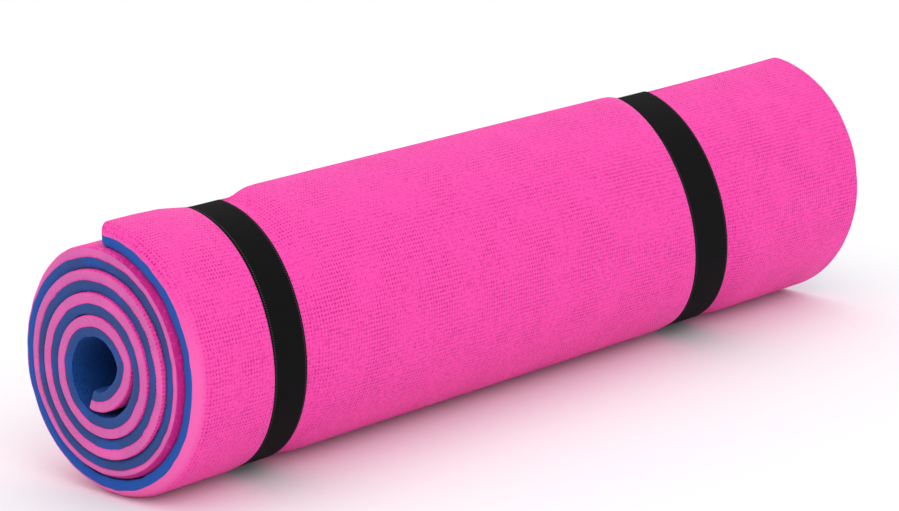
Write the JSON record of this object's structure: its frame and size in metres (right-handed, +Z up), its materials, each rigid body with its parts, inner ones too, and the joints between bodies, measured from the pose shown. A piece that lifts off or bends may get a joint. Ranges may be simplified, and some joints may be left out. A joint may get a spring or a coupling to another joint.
{
  "type": "rolled exercise mat",
  "caption": "Rolled two-layer foam exercise mat, pink outside and blue inside, held by slanted black elastic bands.",
  "frame": {"origin": "centre of the bounding box's base, on the floor under the roll", "axes": "+X along the roll towards the end that the free flap overhangs, +Z up, +Y across"},
  "size_m": [0.5056, 0.1186, 0.1297],
  "materials": {
    "pink_foam": "embossed cross-linked polyethylene foam, matt",
    "blue_foam": "ribbed cross-linked polyethylene foam, matt",
    "elastic_webbing": "woven elastic, fine ribs",
    "sewing_thread": "black polyester thread"
  },
  "bodies": {
    "mat": {"pink_ply": "pink_foam", "blue_ply": "blue_foam"},
    "near_loop": {"band_near": "elastic_webbing", "band_near_stitching": "sewing_thread"},
    "far_loop": {"band_far": "elastic_webbing", "band_far_stitching": "sewing_thread"}
  },
  "joints": [
    {"name": "near_band_slide", "type": "slide", "parent": "mat", "child": "near_loop", "axis": [-1, 0, 0], "range_m": [0, 0.105], "deforming": ["band_near", "band_near_stitching"]},
    {"name": "far_band_slide", "type": "slide", "parent": "mat", "child": "far_loop", "axis": [1, 0, 0], "range_m": [0, 0.15], "deforming": ["band_far", "band_far_stitching"]}
  ]
}
